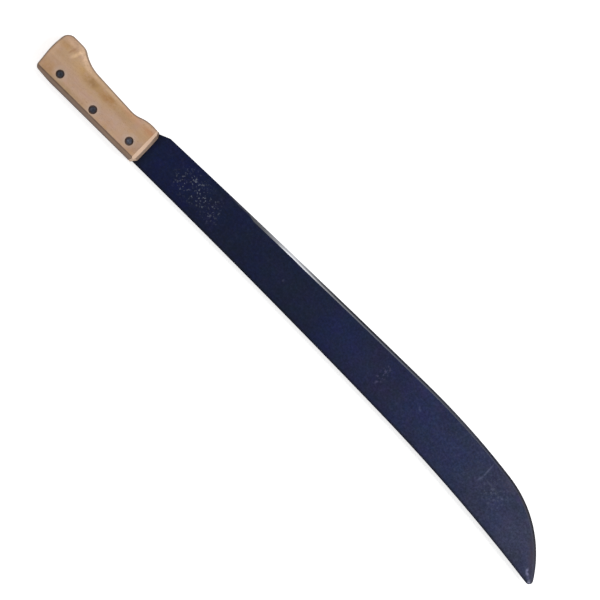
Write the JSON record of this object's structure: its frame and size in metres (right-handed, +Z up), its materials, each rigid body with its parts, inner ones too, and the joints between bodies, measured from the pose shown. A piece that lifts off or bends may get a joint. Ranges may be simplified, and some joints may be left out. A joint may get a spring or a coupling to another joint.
{
  "type": "machete",
  "caption": "Long machete with a dark lacquered blade, upswept ground edge, hollow spine line and a full tang between riveted beech scales with a flared pommel.",
  "frame": {"origin": "middle of the handle's length on the outer face of the lower scale, on plain wood clear of the rivets", "axes": "+X along the handle and the blade towards the tip, +Y towards the cutting edge, +Z up through the thickness of the handle towards the side that the picture shows"},
  "size_m": [0.6944, 0.0698, 0.0238],
  "materials": {
    "lacquered_steel": "dark blue-black lacquer, semi-gloss, worn, with a bare ground edge",
    "beech": "raw beech, sanded, lightly stained by use",
    "rivet_steel": "dull zinc, hammered",
    "blackened_steel": "blackened, matt"
  },
  "bodies": {
    "root": {"blade": "lacquered_steel", "left_scale": "beech", "right_scale": "beech", "rivet_front": "rivet_steel", "rivet_middle": "rivet_steel", "rivet_rear": "rivet_steel", "washer_front": "blackened_steel", "washer_middle": "blackened_steel", "washer_rear": "blackened_steel"}
  },
  "joints": []
}
